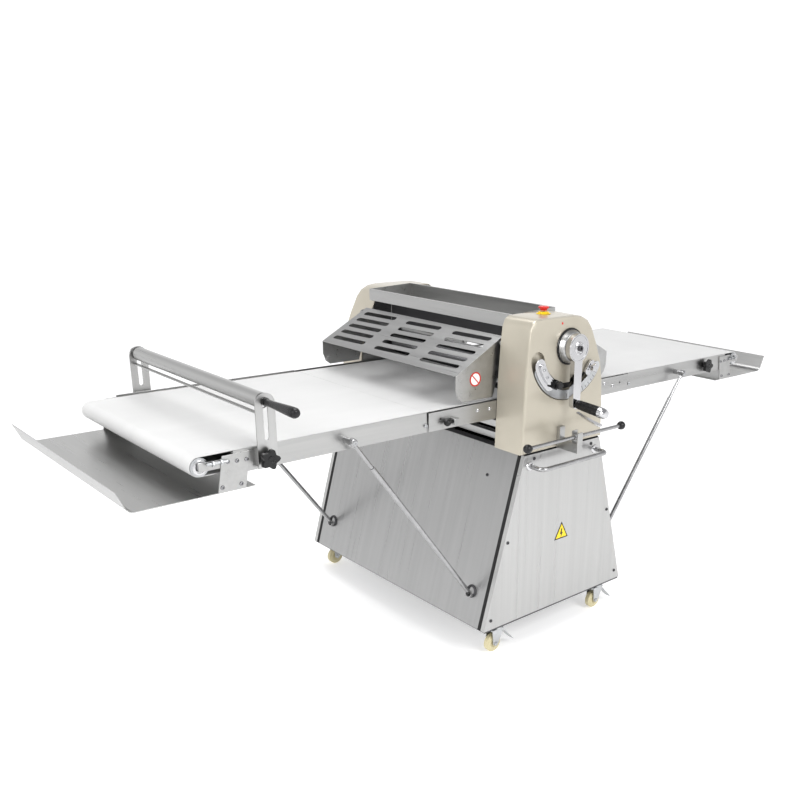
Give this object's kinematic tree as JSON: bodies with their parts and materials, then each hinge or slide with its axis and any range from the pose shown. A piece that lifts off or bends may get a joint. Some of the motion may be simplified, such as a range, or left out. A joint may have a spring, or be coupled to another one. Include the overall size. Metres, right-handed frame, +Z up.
{
  "type": "dough sheeter",
  "caption": "Free-standing dough sheeter: folding belt tables either side of a roller head with crank gap setting, guards, flour tray and catch trays, on a castored cabinet.",
  "frame": {"origin": "on the floor, under the centre of the overall bounding box", "axes": "+X along the belts towards the right-hand table, +Y away from the operator's side, +Z up"},
  "size_m": [2.53, 1.0671, 1.0139],
  "materials": {
    "head_paint": "satin powder coat",
    "brushed_steel": "brushed",
    "belt": "matt coated cloth",
    "black_plastic": "gloss",
    "chrome": "polished",
    "dark_steel": "painted",
    "galvanised": "zinc plated",
    "castor_plastic": "satin",
    "red_plastic": "gloss",
    "yellow_plastic": "gloss"
  },
  "bodies": {
    "base": {"cabinet_front_panel": "brushed_steel", "cabinet_rear_panel": "brushed_steel", "cabinet_left_panel": "brushed_steel", "cabinet_right_panel": "brushed_steel", "cabinet_frame": "brushed_steel", "gear_motor": "dark_steel", "push_handle": "brushed_steel", "housing_front": "head_paint", "housing_rear": "head_paint", "head_frame": "brushed_steel", "hinge_rail_front": "brushed_steel", "hinge_rail_rear": "brushed_steel", "flour_tray": "brushed_steel", "belt_inner_left": "belt", "belt_inner_right": "belt", "lever_boss": "black_plastic", "gap_scale": "brushed_steel", "estop_collar": "yellow_plastic", "control_bracket": "brushed_steel"},
    "left_table": {"table_frame_left": "brushed_steel", "belt_left": "belt", "catch_tray_left": "brushed_steel", "roll_up_frame": "brushed_steel"},
    "right_table": {"table_frame_right": "brushed_steel", "belt_right": "belt", "catch_tray_right": "brushed_steel"},
    "lever": {"lever_arm": "chrome", "lever_grip": "black_plastic"},
    "trigger": {"lever_trigger": "chrome"},
    "yoke": {"roller_yoke": "dark_steel"},
    "top_roller": {"upper_roller": "chrome"},
    "bottom_roller": {"lower_roller": "chrome"},
    "left_drive_roller": {"drive_roller_left": "chrome"},
    "right_drive_roller": {"drive_roller_right": "chrome"},
    "left_end_roller": {"end_roller_left": "chrome"},
    "right_end_roller": {"end_roller_right": "chrome"},
    "winding_tube": {"roll_up_tube": "brushed_steel", "roll_up_grip": "black_plastic"},
    "left_guard": {"guard_left": "brushed_steel"},
    "right_guard": {"guard_right": "brushed_steel"},
    "left_stop": {"gap_stop_left": "black_plastic"},
    "right_stop": {"gap_stop_right": "black_plastic"},
    "stop_button": {"estop_button": "red_plastic"},
    "shift_bar": {"control_bar": "chrome"},
    "latch": {"latch_knob": "black_plastic"},
    "left_front_knob": {"star_knob_left_front": "black_plastic"},
    "left_rear_knob": {"star_knob_left_rear": "black_plastic"},
    "right_front_knob": {"star_knob_right_front": "black_plastic"},
    "left_front_strut": {"strut_left_front": "chrome"},
    "left_rear_strut": {"strut_left_rear": "chrome"},
    "right_front_strut": {"strut_right_front": "chrome"},
    "right_rear_strut": {"strut_right_rear": "chrome"},
    "front_left_castor": {"castor_fork_front_left": "galvanised"},
    "front_left_wheel": {"castor_wheel_front_left": "castor_plastic"},
    "rear_left_castor": {"castor_fork_rear_left": "galvanised"},
    "rear_left_wheel": {"castor_wheel_rear_left": "castor_plastic"},
    "front_right_castor": {"castor_fork_front_right": "galvanised"},
    "front_right_wheel": {"castor_wheel_front_right": "castor_plastic"},
    "rear_right_castor": {"castor_fork_rear_right": "galvanised"},
    "rear_right_wheel": {"castor_wheel_rear_right": "castor_plastic"}
  },
  "joints": [
    {"name": "left_table_fold", "type": "hinge", "parent": "base", "child": "left_table", "pos_m": [-0.416, 0.07355, 0.7505], "axis": [0, 1, 0], "range_deg": [0, 85]},
    {"name": "right_table_fold", "type": "hinge", "parent": "base", "child": "right_table", "pos_m": [0.416, 0.07355, 0.7505], "axis": [0, -1, 0], "range_deg": [0, 85]},
    {"name": "left_front_strut_swing", "type": "hinge", "parent": "left_table", "child": "left_front_strut", "pos_m": [-0.686, -0.29645, 0.725], "axis": [0, 1, 0], "range_deg": [0, 110]},
    {"name": "left_rear_strut_swing", "type": "hinge", "parent": "left_table", "child": "left_rear_strut", "pos_m": [-0.686, 0.44355, 0.725], "axis": [0, 1, 0], "range_deg": [0, 110]},
    {"name": "right_front_strut_swing", "type": "hinge", "parent": "right_table", "child": "right_front_strut", "pos_m": [0.686, -0.29645, 0.725], "axis": [0, -1, 0], "range_deg": [0, 110]},
    {"name": "right_rear_strut_swing", "type": "hinge", "parent": "right_table", "child": "right_rear_strut", "pos_m": [0.686, 0.44355, 0.725], "axis": [0, -1, 0], "range_deg": [0, 110]},
    {"name": "left_guard_lift", "type": "hinge", "parent": "base", "child": "left_guard", "pos_m": [-0.15, 0.07355, 0.913], "axis": [0, 1, 0], "range_deg": [0, 60]},
    {"name": "right_guard_lift", "type": "hinge", "parent": "base", "child": "right_guard", "pos_m": [0.15, 0.07355, 0.913], "axis": [0, -1, 0], "range_deg": [0, 60]},
    {"name": "lever_turn", "type": "hinge", "parent": "base", "child": "lever", "pos_m": [0, -0.41645, 0.906], "axis": [0, 1, 0], "range_deg": [-34, 12]},
    {"name": "yoke_lift", "type": "slide", "parent": "base", "child": "yoke", "axis": [0, 0, 1], "range_m": [-0.0058, 0.0164]},
    {"name": "trigger_pull", "type": "hinge", "parent": "lever", "child": "trigger", "pos_m": [0, -0.42945, 0.7205], "axis": [-1, 0, 0], "range_deg": [0, 6], "stiffness_Nm_per_rad": 1, "springref_deg": -2.86},
    {"name": "left_stop_move", "type": "hinge", "parent": "base", "child": "left_stop", "pos_m": [0, -0.38675, 0.906], "axis": [0, 1, 0], "range_deg": [0, 30]},
    {"name": "right_stop_move", "type": "hinge", "parent": "base", "child": "right_stop", "pos_m": [0, -0.38675, 0.906], "axis": [0, -1, 0], "range_deg": [0, 8]},
    {"name": "bottom_roller_turn", "type": "hinge", "parent": "base", "child": "bottom_roller", "pos_m": [0, 0.07355, 0.707], "axis": [0, 1, 0], "continuous": true},
    {"name": "top_roller_turn", "type": "hinge", "parent": "yoke", "child": "top_roller", "pos_m": [0, 0.07355, 0.804], "axis": [0, 1, 0], "continuous": true},
    {"name": "left_drive_roller_turn", "type": "hinge", "parent": "base", "child": "left_drive_roller", "pos_m": [-0.068, 0.07355, 0.7292], "axis": [0, 1, 0], "continuous": true},
    {"name": "right_drive_roller_turn", "type": "hinge", "parent": "base", "child": "right_drive_roller", "pos_m": [0.068, 0.07355, 0.7292], "axis": [0, 1, 0], "continuous": true},
    {"name": "left_end_roller_turn", "type": "hinge", "parent": "left_table", "child": "left_end_roller", "pos_m": [-1.0675, 0.07355, 0.7263], "axis": [0, 1, 0], "continuous": true},
    {"name": "right_end_roller_turn", "type": "hinge", "parent": "right_table", "child": "right_end_roller", "pos_m": [1.0675, 0.07355, 0.7263], "axis": [0, 1, 0], "continuous": true},
    {"name": "winding_tube_turn", "type": "hinge", "parent": "left_table", "child": "winding_tube", "pos_m": [-0.9105, 0.07355, 0.86], "axis": [0, 1, 0], "continuous": true},
    {"name": "left_front_knob_turn", "type": "hinge", "parent": "left_table", "child": "left_front_knob", "pos_m": [-0.915, -0.28245, 0.726], "axis": [0, 1, 0], "continuous": true},
    {"name": "left_rear_knob_turn", "type": "hinge", "parent": "left_table", "child": "left_rear_knob", "pos_m": [-0.915, 0.42955, 0.726], "axis": [0, 1, 0], "continuous": true},
    {"name": "right_front_knob_turn", "type": "hinge", "parent": "right_table", "child": "right_front_knob", "pos_m": [0.862, -0.26675, 0.726], "axis": [0, 1, 0], "continuous": true},
    {"name": "latch_pull", "type": "slide", "parent": "base", "child": "latch", "axis": [-1, 0, 0], "range_m": [0, 0.01], "stiffness_N_per_m": 300, "springref_m": -0.004},
    {"name": "stop_button_press", "type": "slide", "parent": "base", "child": "stop_button", "axis": [0, 0, -1], "range_m": [0, 0.0025], "stiffness_N_per_m": 1200, "springref_m": -0.001},
    {"name": "shift_bar_rock", "type": "hinge", "parent": "base", "child": "shift_bar", "pos_m": [-0.025, -0.45645, 0.659], "axis": [0, 1, 0], "range_deg": [-8, 8]},
    {"name": "front_left_castor_swivel", "type": "hinge", "parent": "base", "child": "front_left_castor", "pos_m": [-0.228, -0.35145, 0.0887], "axis": [0, 0, 1], "continuous": true},
    {"name": "front_left_wheel_roll", "type": "hinge", "parent": "front_left_castor", "child": "front_left_wheel", "pos_m": [-0.242, -0.35145, 0.028], "axis": [0, 1, 0], "continuous": true},
    {"name": "rear_left_castor_swivel", "type": "hinge", "parent": "base", "child": "rear_left_castor", "pos_m": [-0.228, 0.49855, 0.0887], "axis": [0, 0, 1], "continuous": true},
    {"name": "rear_left_wheel_roll", "type": "hinge", "parent": "rear_left_castor", "child": "rear_left_wheel", "pos_m": [-0.242, 0.49855, 0.028], "axis": [0, 1, 0], "continuous": true},
    {"name": "front_right_castor_swivel", "type": "hinge", "parent": "base", "child": "front_right_castor", "pos_m": [0.228, -0.35145, 0.0887], "axis": [0, 0, 1], "continuous": true},
    {"name": "front_right_wheel_roll", "type": "hinge", "parent": "front_right_castor", "child": "front_right_wheel", "pos_m": [0.214, -0.35145, 0.028], "axis": [0, 1, 0], "continuous": true},
    {"name": "rear_right_castor_swivel", "type": "hinge", "parent": "base", "child": "rear_right_castor", "pos_m": [0.228, 0.49855, 0.0887], "axis": [0, 0, 1], "continuous": true},
    {"name": "rear_right_wheel_roll", "type": "hinge", "parent": "rear_right_castor", "child": "rear_right_wheel", "pos_m": [0.214, 0.49855, 0.028], "axis": [0, 1, 0], "continuous": true}
  ],
  "couplings": [
    {"joint": "lever_turn", "follows": "yoke_lift", "rad_per_m": -36.1},
    {"joint": "top_roller_turn", "follows": "bottom_roller_turn", "ratio": -1},
    {"joint": "left_drive_roller_turn", "follows": "bottom_roller_turn", "ratio": 1.97},
    {"joint": "right_drive_roller_turn", "follows": "bottom_roller_turn", "ratio": 1.97},
    {"joint": "left_end_roller_turn", "follows": "bottom_roller_turn", "ratio": 1.7355},
    {"joint": "right_end_roller_turn", "follows": "bottom_roller_turn", "ratio": 1.7355}
  ]
}
